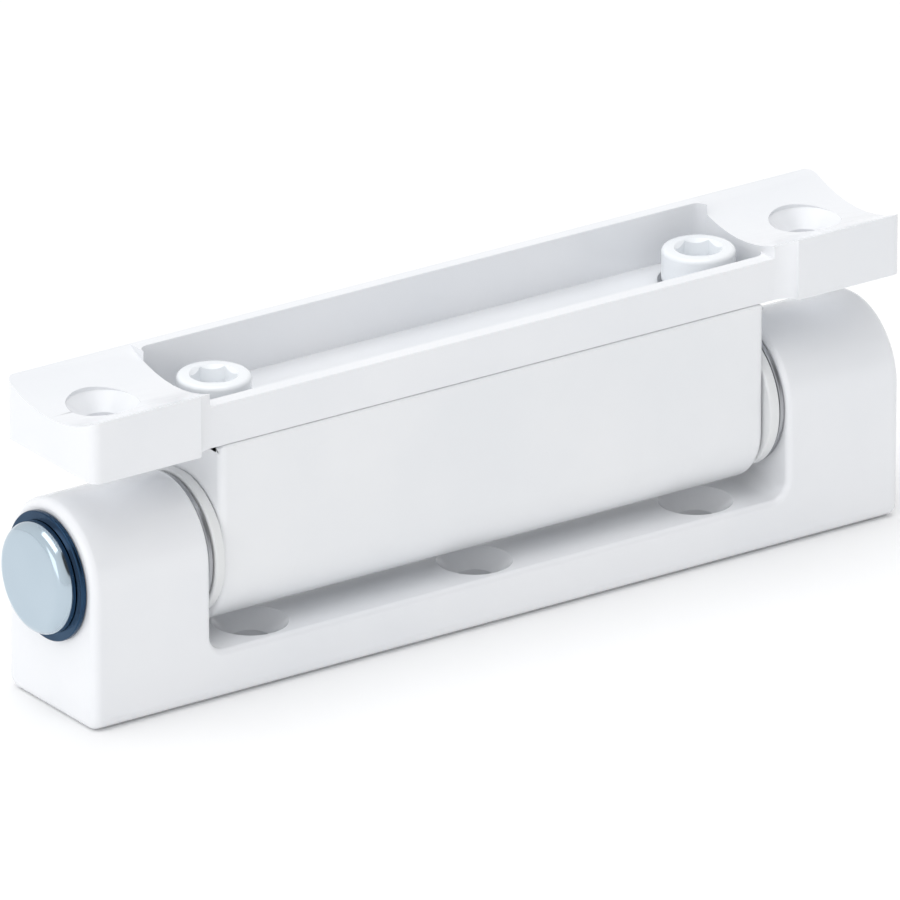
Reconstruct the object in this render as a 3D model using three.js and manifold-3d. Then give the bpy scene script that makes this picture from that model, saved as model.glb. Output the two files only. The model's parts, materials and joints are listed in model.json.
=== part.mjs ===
// Barrel hinge for a window sash or shutter: a U-shaped yoke carries a headed pin, and a
// knuckle on that pin carries the leaf that the sash is screwed to.
// Millimetres, +Z up. The pin runs along X. The origin is under the middle, on the yoke's foot.
import * as THREE from 'three';
import { mergeVertices } from 'three/addons/utils/BufferGeometryUtils.js';
import Module from 'manifold-3d';

// Driving dimensions
const LENGTH = 130; // yoke and leaf, end to end
const DEPTH = 20.6; // yoke, front to back
const AXIS_Z = 19.2; // pin axis above the foot
const FLOOR = 7; // yoke floor thickness
const CHEEK = 18.5; // yoke cheek thickness along X
const EDGE = 1.2; // rounding of cast edges
const FOOT_CORNER = 2; // rounding of the foot's long edges
const FIT = 0.1; // gap between faces that touch
const RUN = 0.08; // radial clearance of turning fits
const SEGMENTS = 32; // facets of a full turn
const OVER = 1; // how far a cutting tool runs past the face it cuts

// Pin
const PIN_R = 5;
const PIN_CHAMFER = 0.5;
const HEAD_R = 7.6;
const HEAD_T = 2.3;
const HEAD_EDGE = 1.1;
const HEAD_WASHER_R = 8.8;
const HEAD_WASHER_T = 0.8;
const HEAD_PROUD = HEAD_WASHER_T + HEAD_T + 2 * FIT;
const MIDDLE_X = HEAD_PROUD / 2; // the pin head stands out at one end only
const LEFT_X = MIDDLE_X - LENGTH / 2;
const RIGHT_X = MIDDLE_X + LENGTH / 2;
const PLUG_R = 8;
const PLUG_T = 1.8;
const POCKET_DEPTH = 5.5;
const RING_R = 7;
const RING_T = 1;
const RING_OPENING = 3;
const GROOVE_R = 4.2;
const SLEEVE_R = 6.5;
const SLEEVE_GAP = 0.4;
const LOCK_R = 2.5;
const LOCK_LENGTH = 8;
const LOCK_X = 9; // lock screw from the left end
const LOCK_BITE = 0.8; // flat on the pin for the lock screw
const LOCK_FLAT = 10; // length of that flat
const LOCK_SOCKET_R = 1.45;
const LOCK_SOCKET_DEPTH = 2;

// Yoke fixing holes, countersunk from above
const FOOT_HOLE_R = 2.65;
const FOOT_SINK_R = 5.1;
const FOOT_HOLE_PITCH = 36;
const FOOT_HOLE_Y = -3.8;

// Knuckle: flat sides and a round underside
const KNUCKLE_END_GAP = 2.7; // to each cheek
const KNUCKLE_HALF = 8.6;
const KNUCKLE_DROP = 2.5; // centre of the round underside below the axis
const KNUCKLE_EDGE = 0.8; // rounding of the knuckle's ends
const KNUCKLE_CORE_R = 6; // clear bore between the bushes
const THRUST_T = 0.7;
const THRUST_R = 9.6;
const FLANGE_T = 1.6;
const FLANGE_R = 9.9;
const BUSH_R = 7;
const BUSH_LENGTH = 14;

// Leaf
const LEAF_Z = 35.2; // leaf underside
const LEAF_HALF = 10.3; // half depth at the ears
const LEAF_TOP = 43.8;
const RIM_TOP = 41.1;
const RIM_FRONT = 8.4; // front of the rim, before the axis
const RIM_WALL = 2;
const BACK_WALL = 1.8;
const WEB = 1.2; // tray floor
const EAR = 19.6; // ear length along X, from the leaf's end to the tray
const EAR_FRONT = 17; // length of the ear's front face
const EAR_FILLET = 3; // run of the hollow from the ear's front to the rim's front
const SADDLE_SAG = 2.5; // depth of the round saddle in each ear
const EAR_HOLE_IN = 8.5; // hole centre from the leaf's end
const EAR_HOLE_R = 2.65;
const EAR_SINK_R = 4.9;
const TRAY_CORNER = 1.5;

// Clamp screws, leaf to knuckle
const SCREW_X = 39;
const SCREW_R = 3;
const SCREW_HEAD_R = 5;
const SCREW_HEAD_T = 4.3;
const SCREW_HEAD_EDGE = 0.5;
const SCREW_LENGTH = 10;
const SCREW_TIP = 0.6; // chamfer at the screw's tip
const SCREW_CLEARANCE = 0.3;
const SOCKET_R = 3.2;
const SOCKET_DEPTH = 2.3;
const WASHER_R = 5.5;
const WASHER_T = 0.6;
const WASHER_CLEARANCE = 0.2;
const THREAD_GAP = 0.15;
const TAP_OVERRUN = 0.5; // tapped hole below the screw's tip
const DOWEL_X = 18;
const DOWEL_R = 2;
const DOWEL_LENGTH = 7;
const DOWEL_BORE = 0.9;

const wasm = await Module();
wasm.setup();

const COAT = { color: 0xe9ebee, roughness: 0.28, metalness: 0 };
const ZINC = { color: 0xb4bfca, roughness: 0.3, metalness: 1 };
const BLUED = { color: 0x2c4a68, roughness: 0.35, metalness: 1 };
const STEEL = { color: 0x9a9da1, roughness: 0.4, metalness: 1 };
const NYLON = { color: 0xe4e6e6, roughness: 0.45, metalness: 0 };

// Solids -------------------------------------------------------------------------------------

function solid(geometry) {
  const bare = geometry.clone();
  bare.deleteAttribute('normal');
  bare.deleteAttribute('uv');
  const merged = mergeVertices(bare, 1e-4);
  const vertProperties = new Float32Array(merged.attributes.position.array);
  const index = merged.index.array;
  const kept = [];
  for (let i = 0; i < index.length; i += 3) {
    const [a, b, c] = [index[i], index[i + 1], index[i + 2]];
    if (a !== b && b !== c && c !== a) kept.push(a, b, c);
  }
  const triVerts = new Uint32Array(kept);
  return new wasm.Manifold(new wasm.Mesh({ numProp: 3, vertProperties, triVerts }));
}

// The same outline with each point once, as the extrusions need.
function outline(shape, divisions) {
  const points = shape.getPoints(divisions);
  const apart = (p, q) => p.distanceTo(q) > 1e-3;
  const once = points.filter((p, i) => apart(p, points[(i + 1) % points.length]));
  return new THREE.Shape(once);
}

function geometryOf(manifold) {
  const mesh = manifold.getMesh();
  const geometry = new THREE.BufferGeometry();
  geometry.setAttribute('position', new THREE.BufferAttribute(mesh.vertProperties, 3));
  geometry.setIndex(new THREE.BufferAttribute(mesh.triVerts, 1));
  return geometry;
}

// A turned shape about X from [x, radius] points that start and end on the axis.
function turned(profile) {
  const points = profile.map(([x, r]) => new THREE.Vector2(r, x));
  const geometry = new THREE.LatheGeometry(points, SEGMENTS);
  geometry.rotateZ(-Math.PI / 2);
  return solid(geometry);
}

function bar(x0, x1, radius, y = 0, z = AXIS_Z) {
  return turned([[x0, 0], [x0, radius], [x1, radius], [x1, 0]]).translate([0, y, z]);
}

// A turned shape about Z from [z, radius] points that start and end on the axis.
function turnedUp(profile, x, y) {
  const points = profile.map(([z, r]) => new THREE.Vector2(r, z));
  const geometry = new THREE.LatheGeometry(points, SEGMENTS);
  geometry.rotateX(Math.PI / 2);
  return solid(geometry).translate([x, y, 0]);
}

function post(x, y, z0, z1, radius) {
  return turnedUp([[z0, 0], [z0, radius], [z1, radius], [z1, 0]], x, y);
}

function block(x0, x1, y0, y1, z0, z1) {
  const geometry = new THREE.BoxGeometry(x1 - x0, y1 - y0, z1 - z0);
  geometry.translate((x0 + x1) / 2, (y0 + y1) / 2, (z0 + z1) / 2);
  return solid(geometry);
}

// A section in the YZ plane drawn along X, with its end edges rounded.
function alongX(section, x0, x1, rounding) {
  const geometry = new THREE.ExtrudeGeometry(outline(section, SEGMENTS / 2), {
    depth: x1 - x0 - 2 * rounding,
    bevelEnabled: rounding > 0,
    bevelThickness: rounding,
    bevelSize: rounding,
    bevelOffset: -rounding,
    bevelSegments: 2,
  });
  geometry.rotateX(Math.PI / 2);
  geometry.rotateZ(Math.PI / 2);
  geometry.translate(x0 + rounding, 0, 0);
  return solid(geometry);
}

// A section in the XZ plane drawn along Y.
function alongY(section, y0, y1) {
  const geometry = new THREE.ExtrudeGeometry(outline(section, SEGMENTS / 8), {
    depth: y1 - y0,
    bevelEnabled: false,
  });
  geometry.rotateX(Math.PI / 2);
  geometry.translate(0, y1, 0);
  return solid(geometry);
}

// A section in the XY plane drawn along Z.
function alongZ(section, z0, z1) {
  const geometry = new THREE.ExtrudeGeometry(outline(section, SEGMENTS / 8), {
    depth: z1 - z0,
    bevelEnabled: false,
  });
  geometry.translate(0, 0, z0);
  return solid(geometry);
}

// A rectangle with rounded corners, as a shape.
function roundedRectangle(x0, x1, y0, y1, radius) {
  const shape = new THREE.Shape();
  shape.moveTo(x0 + radius, y0);
  shape.lineTo(x1 - radius, y0);
  shape.absarc(x1 - radius, y0 + radius, radius, -Math.PI / 2, 0);
  shape.lineTo(x1, y1 - radius);
  shape.absarc(x1 - radius, y1 - radius, radius, 0, Math.PI / 2);
  shape.lineTo(x0 + radius, y1);
  shape.absarc(x0 + radius, y1 - radius, radius, Math.PI / 2, Math.PI);
  shape.lineTo(x0, y0 + radius);
  shape.absarc(x0 + radius, y0 + radius, radius, Math.PI, 1.5 * Math.PI);
  return shape;
}

const group = new THREE.Group();

function add(name, manifold, finish) {
  const mesh = new THREE.Mesh(geometryOf(manifold), new THREE.MeshStandardMaterial(finish));
  mesh.name = name;
  group.add(mesh);
}

// Yoke ---------------------------------------------------------------------------------------

// A block with rounded lower corners and a half-round top about the pin axis.
function yokeSection() {
  const half = DEPTH / 2;
  const r = FOOT_CORNER;
  const shape = new THREE.Shape();
  shape.moveTo(-half + r, 0);
  shape.lineTo(half - r, 0);
  shape.absarc(half - r, r, r, -Math.PI / 2, 0);
  shape.lineTo(half, AXIS_Z);
  shape.absarc(0, AXIS_Z, half, 0, Math.PI);
  shape.lineTo(-half, r);
  shape.absarc(-half + r, r, r, Math.PI, 1.5 * Math.PI);
  return shape;
}

function footHole(x) {
  const sink = FOOT_SINK_R - FOOT_HOLE_R;
  const profile = [
    [-OVER, 0],
    [-OVER, FOOT_HOLE_R],
    [FLOOR - sink, FOOT_HOLE_R],
    [FLOOR, FOOT_SINK_R],
    [FLOOR + OVER, FOOT_SINK_R],
    [FLOOR + OVER, 0],
  ];
  return turnedUp(profile, x, FOOT_HOLE_Y);
}

function yoke() {
  const mouth = roundedRectangle(
    LEFT_X + CHEEK, RIGHT_X - CHEEK, FLOOR, AXIS_Z + DEPTH, 2 * EDGE);
  let body = alongX(yokeSection(), LEFT_X, RIGHT_X, EDGE);
  body = body.subtract(alongY(mouth, -DEPTH, DEPTH));
  body = body.subtract(bar(LEFT_X - OVER, RIGHT_X + OVER, SLEEVE_R + FIT));
  body = body.subtract(bar(RIGHT_X - POCKET_DEPTH, RIGHT_X + OVER, PLUG_R + FIT));
  for (const place of [-1, 0, 1]) {
    body = body.subtract(footHole(MIDDLE_X + place * FOOT_HOLE_PITCH));
  }
  return body.subtract(lockHole());
}

function lockHole() {
  return post(LEFT_X + LOCK_X, 0, -OVER, AXIS_Z, LOCK_R + FIT);
}

// A plain sleeve in each cheek, for the pin. The left one lets the lock screw through.
function sleeve(x0, x1) {
  const tube = bar(x0, x1, SLEEVE_R).subtract(bar(x0 - OVER, x1 + OVER, PIN_R + RUN));
  return tube.subtract(lockHole());
}

// Pin and what holds it ----------------------------------------------------------------------

const PIN_END = RIGHT_X - PLUG_T - 3 * FIT;

function hingePin() {
  const face = LEFT_X - HEAD_PROUD;
  const shoulder = face + HEAD_T;
  const grooveX = RIGHT_X - POCKET_DEPTH + FIT;
  const profile = [[face, 0]];
  for (let step = 0; step <= 4; step++) {
    const turn = (step / 4) * (Math.PI / 2);
    const inset = HEAD_EDGE * (1 - Math.cos(turn));
    profile.push([face + inset, HEAD_R - HEAD_EDGE + HEAD_EDGE * Math.sin(turn)]);
  }
  profile.push([shoulder, HEAD_R], [shoulder, PIN_R]);
  profile.push([grooveX - FIT, PIN_R], [grooveX - FIT, GROOVE_R]);
  profile.push([grooveX + RING_T + FIT, GROOVE_R], [grooveX + RING_T + FIT, PIN_R]);
  profile.push([PIN_END - PIN_CHAMFER, PIN_R], [PIN_END, PIN_R - PIN_CHAMFER], [PIN_END, 0]);
  const flat = block(
    LEFT_X + LOCK_X - LOCK_FLAT / 2, LEFT_X + LOCK_X + LOCK_FLAT / 2, -PIN_R, PIN_R,
    AXIS_Z - PIN_R - OVER, AXIS_Z - PIN_R + LOCK_BITE);
  return turned(profile).translate([0, 0, AXIS_Z]).subtract(flat);
}

function headWasher() {
  const x1 = LEFT_X - FIT;
  const x0 = x1 - HEAD_WASHER_T;
  return bar(x0, x1, HEAD_WASHER_R).subtract(bar(x0 - OVER, x1 + OVER, PIN_R + RUN));
}

// A ring with a gap, so that it springs into the pin's groove.
function retainingRing() {
  const x0 = RIGHT_X - POCKET_DEPTH + FIT;
  const x1 = x0 + RING_T;
  const half = RING_OPENING / 2;
  let ring = bar(x0, x1, RING_R);
  ring = ring.subtract(bar(x0 - OVER, x1 + OVER, GROOVE_R + RUN));
  return ring.subtract(block(x0 - OVER, x1 + OVER, -half, half, AXIS_Z, AXIS_Z + RING_R + OVER));
}

function endPlug() {
  const x0 = RIGHT_X - PLUG_T;
  return bar(x0, RIGHT_X, PLUG_R);
}

function lockScrew() {
  const top = AXIS_Z - PIN_R + LOCK_BITE - FIT;
  const base = top - LOCK_LENGTH;
  const x = LEFT_X + LOCK_X;
  const hex = new THREE.CylinderGeometry(LOCK_SOCKET_R, LOCK_SOCKET_R, 2 * LOCK_SOCKET_DEPTH, 6);
  hex.rotateX(Math.PI / 2);
  const socket = solid(hex).translate([x, 0, base]);
  return post(x, 0, base, top, LOCK_R).subtract(socket);
}

// Knuckle ------------------------------------------------------------------------------------

const KNUCKLE_X0 = LEFT_X + CHEEK + KNUCKLE_END_GAP;
const KNUCKLE_X1 = RIGHT_X - CHEEK - KNUCKLE_END_GAP;

function knuckleSection() {
  const low = AXIS_Z - KNUCKLE_DROP;
  const shape = new THREE.Shape();
  shape.moveTo(KNUCKLE_HALF, LEAF_Z - FIT);
  shape.lineTo(-KNUCKLE_HALF, LEAF_Z - FIT);
  shape.lineTo(-KNUCKLE_HALF, low);
  shape.absarc(0, low, KNUCKLE_HALF, Math.PI, 2 * Math.PI);
  return shape;
}

function knuckle() {
  let body = alongX(knuckleSection(), KNUCKLE_X0, KNUCKLE_X1, KNUCKLE_EDGE);
  body = body.subtract(bar(KNUCKLE_X0 - OVER, KNUCKLE_X1 + OVER, KNUCKLE_CORE_R));
  const deep = BUSH_LENGTH + FIT;
  body = body.subtract(bar(KNUCKLE_X0 - OVER, KNUCKLE_X0 + deep, BUSH_R + FIT));
  body = body.subtract(bar(KNUCKLE_X1 - deep, KNUCKLE_X1 + OVER, BUSH_R + FIT));
  for (const side of [-1, 1]) {
    const bottom = LEAF_Z + WEB - SCREW_LENGTH - TAP_OVERRUN;
    const x = MIDDLE_X + side * SCREW_X;
    body = body.subtract(post(x, 0, bottom, LEAF_Z + OVER, SCREW_R + THREAD_GAP));
    const hole = LEAF_Z - DOWEL_LENGTH;
    const dowelX = MIDDLE_X + side * DOWEL_X;
    body = body.subtract(post(dowelX, 0, hole, LEAF_Z + OVER, DOWEL_R + FIT));
  }
  return body;
}

// A flanged bush. side is -1 at the left end of the knuckle and 1 at the right.
function flangedBush(side) {
  const face = side < 0 ? KNUCKLE_X0 : KNUCKLE_X1;
  const out = face + side * (FLANGE_T + FIT);
  const near = face + side * FIT;
  const inside = face - side * BUSH_LENGTH;
  const span = (a, b, r) => bar(Math.min(a, b), Math.max(a, b), r);
  const body = span(near, out, FLANGE_R).add(span(out, inside, BUSH_R));
  return body.subtract(span(out + side, inside - side, PIN_R + RUN));
}

function thrustWasher(side) {
  const face = side < 0 ? LEFT_X + CHEEK : RIGHT_X - CHEEK;
  const a = face - side * FIT;
  const b = a - side * THRUST_T;
  const x0 = Math.min(a, b);
  const x1 = Math.max(a, b);
  return bar(x0, x1, THRUST_R).subtract(bar(x0 - OVER, x1 + OVER, PIN_R + RUN));
}

// Leaf ---------------------------------------------------------------------------------------

// Plan of the leaf: the ears stand out at the front, and a hollow leads from each to the rim.
function leafPlan() {
  const x0 = LEFT_X;
  const x1 = RIGHT_X;
  const r = EDGE;
  const ear0 = x0 + EAR_FRONT;
  const ear1 = x1 - EAR_FRONT;
  const shape = new THREE.Shape();
  shape.moveTo(x0 + r, -LEAF_HALF);
  shape.lineTo(ear0, -LEAF_HALF);
  shape.quadraticCurveTo(ear0, -RIM_FRONT, ear0 + EAR_FILLET, -RIM_FRONT);
  shape.lineTo(ear1 - EAR_FILLET, -RIM_FRONT);
  shape.quadraticCurveTo(ear1, -RIM_FRONT, ear1, -LEAF_HALF);
  shape.lineTo(x1 - r, -LEAF_HALF);
  shape.absarc(x1 - r, -LEAF_HALF + r, r, -Math.PI / 2, 0);
  shape.lineTo(x1, LEAF_HALF - r);
  shape.absarc(x1 - r, LEAF_HALF - r, r, 0, Math.PI / 2);
  shape.lineTo(x0 + r, LEAF_HALF);
  shape.absarc(x0 + r, LEAF_HALF - r, r, Math.PI / 2, Math.PI);
  shape.lineTo(x0, -LEAF_HALF + r);
  shape.absarc(x0 + r, -LEAF_HALF + r, r, Math.PI, 1.5 * Math.PI);
  return shape;
}

// The countersunk hole in an ear, from the bottom of its saddle down.
function earHole(x) {
  const seat = LEAF_TOP - SADDLE_SAG;
  const profile = [
    [LEAF_Z - OVER, 0],
    [LEAF_Z - OVER, EAR_HOLE_R],
    [seat - (EAR_SINK_R - EAR_HOLE_R), EAR_HOLE_R],
    [seat, EAR_SINK_R],
    [LEAF_TOP + OVER, EAR_SINK_R],
    [LEAF_TOP + OVER, 0],
  ];
  return turnedUp(profile, x, 0);
}

function leafFrame() {
  let body = alongZ(leafPlan(), LEAF_Z, LEAF_TOP);
  const inner0 = LEFT_X + EAR;
  const inner1 = RIGHT_X - EAR;
  const back = LEAF_HALF - BACK_WALL;
  const tray = roundedRectangle(inner0, inner1, -RIM_FRONT + RIM_WALL, back, TRAY_CORNER);
  body = body.subtract(alongZ(tray, LEAF_Z + WEB, LEAF_TOP + OVER));
  body = body.subtract(
    block(inner0, inner1, -LEAF_HALF - OVER, back - TRAY_CORNER, RIM_TOP, LEAF_TOP + OVER));
  const chord = LEAF_HALF;
  const radius = (chord * chord + SADDLE_SAG * SADDLE_SAG) / (2 * SADDLE_SAG);
  const saddleZ = LEAF_TOP - SADDLE_SAG + radius;
  body = body.subtract(bar(LEFT_X - OVER, inner0, radius, 0, saddleZ));
  body = body.subtract(bar(inner1, RIGHT_X + OVER, radius, 0, saddleZ));
  for (const side of [-1, 1]) {
    const end = side < 0 ? LEFT_X : RIGHT_X;
    body = body.subtract(earHole(end - side * EAR_HOLE_IN));
    const x = MIDDLE_X + side * SCREW_X;
    const clear = SCREW_R + SCREW_CLEARANCE;
    body = body.subtract(post(x, 0, LEAF_Z - OVER, LEAF_Z + WEB + OVER, clear));
    const dowelX = MIDDLE_X + side * DOWEL_X;
    body = body.subtract(post(dowelX, 0, LEAF_Z - OVER, LEAF_Z + WEB / 2, DOWEL_R + FIT));
  }
  return body;
}

function clampScrew(side) {
  const seat = LEAF_Z + WEB + WASHER_T + 2 * FIT;
  const top = seat + SCREW_HEAD_T;
  const tip = LEAF_Z + WEB - SCREW_LENGTH;
  const profile = [
    [tip, 0],
    [tip, SCREW_R - SCREW_TIP],
    [tip + SCREW_TIP, SCREW_R],
    [seat, SCREW_R],
    [seat, SCREW_HEAD_R],
    [top - SCREW_HEAD_EDGE, SCREW_HEAD_R],
    [top, SCREW_HEAD_R - SCREW_HEAD_EDGE],
    [top, 0],
  ];
  const x = MIDDLE_X + side * SCREW_X;
  const hex = new THREE.CylinderGeometry(SOCKET_R, SOCKET_R, 2 * SOCKET_DEPTH, 6);
  hex.rotateX(Math.PI / 2);
  return turnedUp(profile, x, 0).subtract(solid(hex).translate([x, 0, top]));
}

function clampWasher(side) {
  const x = MIDDLE_X + side * SCREW_X;
  const z0 = LEAF_Z + WEB + FIT;
  const z1 = z0 + WASHER_T;
  const hole = post(x, 0, z0 - OVER, z1 + OVER, SCREW_R + WASHER_CLEARANCE);
  return post(x, 0, z0, z1, WASHER_R).subtract(hole);
}

// A hollow spring dowel that keeps the leaf square on the knuckle.
function dowel(side) {
  const x = MIDDLE_X + side * DOWEL_X;
  const z1 = LEAF_Z + WEB / 2 - FIT;
  const z0 = z1 - DOWEL_LENGTH;
  return post(x, 0, z0, z1, DOWEL_R).subtract(post(x, 0, z0 - OVER, z1 + OVER, DOWEL_BORE));
}

// Assembly -----------------------------------------------------------------------------------

add('yoke', yoke(), COAT);
add('hinge_pin', hingePin(), ZINC);
add('pin_head_washer', headWasher(), BLUED);
add('retaining_ring', retainingRing(), STEEL);
add('pin_end_plug', endPlug(), NYLON);
add('pin_lock_screw', lockScrew(), STEEL);
add('left_cheek_sleeve', sleeve(LEFT_X + SLEEVE_GAP, LEFT_X + CHEEK - SLEEVE_GAP), NYLON);
add('right_cheek_sleeve',
  sleeve(RIGHT_X - CHEEK + SLEEVE_GAP, RIGHT_X - POCKET_DEPTH - SLEEVE_GAP), NYLON);
add('knuckle', knuckle(), COAT);
add('leaf_frame', leafFrame(), COAT);
for (const [name, side] of [['left', -1], ['right', 1]]) {
  add(`${name}_thrust_washer`, thrustWasher(side), STEEL);
  add(`${name}_flanged_bush`, flangedBush(side), NYLON);
  add(`${name}_clamp_screw`, clampScrew(side), COAT);
  add(`${name}_clamp_washer`, clampWasher(side), STEEL);
  add(`${name}_dowel`, dowel(side), STEEL);
}

export default group;
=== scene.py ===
"""The looks of a white powder-coated barrel hinge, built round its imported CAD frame.

Everything is in metres, in the frame of the CAD: the pin runs along X, and +Z is up from the
yoke's foot. Lengths that the frame doesn't give are named below in millimetres times MM.
"""

import json
import math

import bpy
import numpy as np
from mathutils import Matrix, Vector


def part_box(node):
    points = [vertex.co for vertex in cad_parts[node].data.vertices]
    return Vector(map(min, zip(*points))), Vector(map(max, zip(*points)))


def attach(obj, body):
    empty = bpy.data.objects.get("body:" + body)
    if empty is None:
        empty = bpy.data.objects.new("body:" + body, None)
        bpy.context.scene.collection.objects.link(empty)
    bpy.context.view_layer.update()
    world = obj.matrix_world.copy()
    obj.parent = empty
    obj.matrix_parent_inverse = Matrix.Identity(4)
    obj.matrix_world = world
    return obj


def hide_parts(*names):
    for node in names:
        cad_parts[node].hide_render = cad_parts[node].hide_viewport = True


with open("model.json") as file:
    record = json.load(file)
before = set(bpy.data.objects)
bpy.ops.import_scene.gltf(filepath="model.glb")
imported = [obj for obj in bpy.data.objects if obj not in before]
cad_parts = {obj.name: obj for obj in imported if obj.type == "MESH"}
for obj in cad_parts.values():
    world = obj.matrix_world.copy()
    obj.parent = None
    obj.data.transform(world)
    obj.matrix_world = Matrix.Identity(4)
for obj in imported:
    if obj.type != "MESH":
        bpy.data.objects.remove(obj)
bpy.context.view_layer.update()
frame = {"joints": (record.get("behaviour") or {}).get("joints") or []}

MM = 0.001

# --- Places from the frame ------------------------------------------------------------------


def across(name, axis=1):
    """Half the node's size along an axis, which is its radius where it is round."""
    low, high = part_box(name)
    return (high[axis] - low[axis]) / 2


def middle_of(name):
    """The X of the node's middle."""
    low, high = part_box(name)
    return (low.x + high.x) / 2


YOKE_LO, YOKE_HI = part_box("yoke")
LEAF_LO, LEAF_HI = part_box("leaf_frame")
KNUCKLE_LO, KNUCKLE_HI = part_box("knuckle")
PIN_LO, PIN_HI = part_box("hinge_pin")
PLUG_LO, PLUG_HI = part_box("pin_end_plug")
RING_LO, RING_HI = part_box("retaining_ring")
LOCK_LO, LOCK_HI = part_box("pin_lock_screw")
AXIS_Z = frame["joints"][0]["pos_m"][2]
AXIS = Vector((0, 0, AXIS_Z))
MIDDLE_X = middle_of("yoke")
LOCK_X = middle_of("pin_lock_screw")
ENDS = ("left", -1), ("right", 1)

# --- Shape ----------------------------------------------------------------------------------

TURN = 96  # points round a full turn
OVER = 1 * MM  # how far a cutting tool runs past the face it cuts
SNUG = 0.1 * MM  # gap between faces that touch
RUN = 0.08 * MM  # gap between turning faces

FLOOR = 7 * MM
CHEEK = 18.5 * MM
FOOT_CORNER = 2 * MM
CAST_EDGE = 1.2 * MM  # rounding at the ends of the castings
MOUTH_CORNER = 2.4 * MM
MOUTH_EDGE = 0.9 * MM  # rounding of the yoke's inner edges
DRILL_EDGE = 0.2 * MM  # broken edge of a drilled hole
FOOT_HOLE_R = 2.65 * MM
FOOT_SINK_R = 5.1 * MM
FOOT_HOLE_PITCH = 36 * MM
FOOT_HOLE_Y = -3.8 * MM

PIN_R = 5 * MM
HEAD_T = 2.3 * MM
HEAD_EDGE = 1.5 * MM
GROOVE_R = 4.2 * MM
PIN_CHAMFER = 0.5 * MM
LOCK_BITE = 0.8 * MM
LOCK_FLAT = 10 * MM
RING_OPENING = 3 * MM
WASHER_EDGE = 0.18 * MM
PLUG_EDGE = 0.4 * MM
PLUG_DISH_R = 5.2 * MM
PLUG_DISH_DEPTH = 0.5 * MM

KNUCKLE_DROP = 2.5 * MM  # centre of the round underside below the axis
KNUCKLE_EDGE = 1.1 * MM
KNUCKLE_TOP_EDGE = 0.35 * MM
KNUCKLE_CORE_R = 6 * MM
BUSH_R = 7 * MM
BUSH_LENGTH = 14 * MM
FLANGE_T = 1.6 * MM
FLANGE_EDGE = 0.35 * MM

RIM_TOP = 41.1 * MM
RIM_FRONT = 8.4 * MM
RIM_WALL = 2 * MM
BACK_WALL = 1.8 * MM
WEB = 1.2 * MM
EAR = 19.6 * MM
EAR_FRONT = 17 * MM
EAR_FILLET = 3 * MM
EAR_CORNER = 1.4 * MM
SADDLE_SAG = 2.5 * MM
EAR_HOLE_IN = 8.5 * MM
EAR_HOLE_R = 2.65 * MM
EAR_SINK_R = 4.9 * MM
TRAY_CORNER = 1.5 * MM
LEAF_EDGE = 0.6 * MM
SADDLE_FACETS = 64  # flats round a full turn of the saddles' cutting tool

SCREW_R = 3 * MM
SCREW_PITCH = 1 * MM
SCREW_CLEARANCE = 0.3 * MM
SCREW_HEAD_T = 4.3 * MM
SCREW_EDGE = 0.6 * MM
SOCKET_R = 3.2 * MM
SOCKET_DEPTH = 2.3 * MM
LOCK_PITCH = 0.8 * MM
LOCK_SOCKET_R = 1.45 * MM
LOCK_SOCKET_DEPTH = 2 * MM
THREAD_GAP = 0.15 * MM
TAP_OVERRUN = 0.5 * MM
DOWEL_R = 2 * MM
DOWEL_BORE = 0.9 * MM
DOWEL_SLOT = 0.5 * MM
THREAD_DEPTH = 0.54  # of a thread, in pitches
THREAD_START = 0.35  # how much of the depth the thread has where it starts
KEY_TURN = 30  # degrees that a key's corners are turned from X
MEETING = 1e-7  # points nearer than this are one
STEEPEST = 0.3  # least cosine that a corner's inset is stretched by


# --- Meshes ---------------------------------------------------------------------------------


def new_object(name, vertices, faces):
    """An object at the origin with the given vertices, an (n, 3) array, and faces."""
    mesh = bpy.data.meshes.new(name)
    mesh.from_pydata(np.asarray(vertices, float).tolist(), [], faces)
    mesh.validate()
    mesh.update()
    obj = bpy.data.objects.new(name, mesh)
    bpy.context.scene.collection.objects.link(obj)
    mesh.polygons.foreach_set("use_smooth", np.ones(len(mesh.polygons), bool))
    return obj


def arc(centre, radius, start, end, count):
    """Points on a circle: centre plus radius times (cos, sin) of evenly spaced angles in degrees."""
    angle = np.radians(np.linspace(start, end, count))
    return np.column_stack((np.cos(angle), np.sin(angle))) * radius + np.asarray(centre)


def rounded_outline(corners, radii, steps=6):
    """A closed outline whose corners are arcs tangent to both sides.

    At each corner the arc's centre lies on the bisector, radius over sin(half angle) away, and
    the arc leaves the sides radius over tan(half angle) from the corner.
    """
    corners = np.asarray(corners, float)
    out = []
    count = len(corners)
    for i in range(count):
        before, here, after = corners[i - 1], corners[i], corners[(i + 1) % count]
        radius = radii[i] if np.ndim(radii) else radii
        if radius <= 0:
            out.append(here[None, :])
            continue
        a = (before - here) / np.linalg.norm(before - here)
        b = (after - here) / np.linalg.norm(after - here)
        half = math.acos(np.clip(a @ b, -1, 1)) / 2
        bisector = (a + b) / np.linalg.norm(a + b)
        centre = here + bisector * radius / math.sin(half)
        start = here + a * radius / math.tan(half) - centre
        end = here + b * radius / math.tan(half) - centre
        turn = math.atan2(start[0] * end[1] - start[1] * end[0], start @ end)
        angle = math.atan2(start[1], start[0]) + np.linspace(0, turn, steps + 1)
        out.append(centre + radius * np.column_stack((np.cos(angle), np.sin(angle))))
    return np.vstack(out)


def once(outline):
    """The closed outline without points that repeat the one before."""
    gap = np.linalg.norm(outline - np.roll(outline, 1, axis=0), axis=1)
    return outline[gap > MEETING]


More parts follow.
